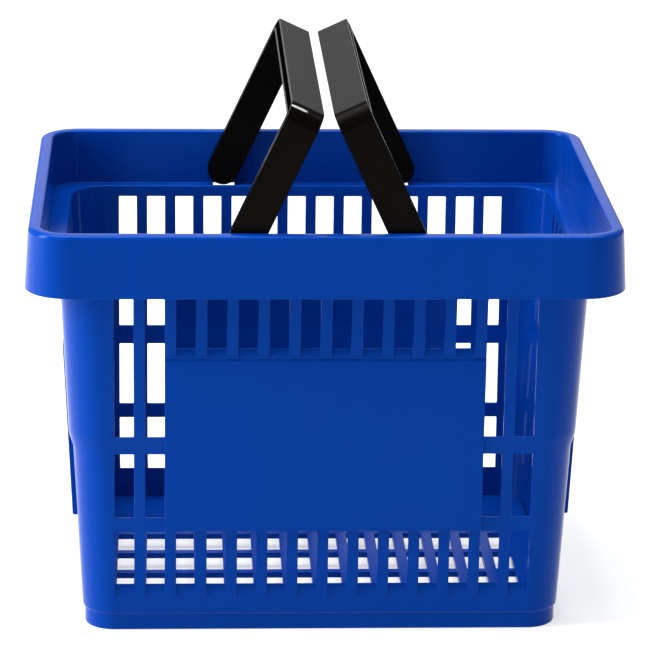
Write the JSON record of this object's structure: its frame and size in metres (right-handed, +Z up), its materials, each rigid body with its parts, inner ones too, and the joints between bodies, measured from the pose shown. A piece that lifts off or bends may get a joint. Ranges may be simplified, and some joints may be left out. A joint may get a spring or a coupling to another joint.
{
  "type": "shopping basket",
  "caption": "Hand-held shopping basket: a tapered open grille tub with a deep rim, plain label panels, a grid floor and folding bail handles that lie down inside the rim.",
  "frame": {"origin": "centre of the base underside, where the basket stands", "axes": "+X along the length, between the two handles' pivots; +Y to the back long side; +Z up out of the mouth"},
  "size_m": [0.437, 0.327, 0.4096],
  "materials": {
    "rim": "glossy moulded polypropylene",
    "ledge": "glossy moulded polypropylene",
    "tub": "glossy moulded polypropylene",
    "label_panel": "smooth semi-gloss moulded polypropylene",
    "floor": "glossy moulded polypropylene",
    "handle": "satin moulded plastic",
    "handle_stud": "satin moulded plastic"
  },
  "bodies": {
    "basket": {"corner_post_back_left": "tub", "corner_post_back_right": "tub", "corner_post_front_left": "tub", "corner_post_front_right": "tub", "floor_grid": "floor", "grille_back": "tub", "grille_front": "tub", "grille_left": "tub", "grille_right": "tub", "label_panel_back": "label_panel", "label_panel_front": "label_panel", "label_panel_left": "label_panel", "label_panel_right": "label_panel", "ledge_back": "ledge", "ledge_corner_back_left": "ledge", "ledge_corner_back_right": "ledge", "ledge_corner_front_left": "ledge", "ledge_corner_front_right": "ledge", "ledge_front": "ledge", "ledge_left": "ledge", "ledge_right": "ledge", "rim_back": "rim", "rim_corner_back_left": "rim", "rim_corner_back_right": "rim", "rim_corner_front_left": "rim", "rim_corner_front_right": "rim", "rim_front": "rim", "rim_left": "rim", "rim_right": "rim"},
    "left_handle": {"left_handle_grip": "handle", "left_handle_leg_back": "handle", "left_handle_leg_front": "handle", "left_handle_stud_back": "handle_stud", "left_handle_stud_front": "handle_stud"},
    "right_handle": {"right_handle_grip": "handle", "right_handle_leg_back": "handle", "right_handle_leg_front": "handle", "right_handle_stud_back": "handle_stud", "right_handle_stud_front": "handle_stud"}
  },
  "joints": [
    {"name": "left_handle_fold", "type": "hinge", "parent": "basket", "child": "left_handle", "pos_m": [-0.07, 0, 0.286], "axis": [0, -1, 0], "range_deg": [0, 115]},
    {"name": "right_handle_fold", "type": "hinge", "parent": "basket", "child": "right_handle", "pos_m": [0.07, 0, 0.286], "axis": [0, 1, 0], "range_deg": [0, 115]}
  ]
}
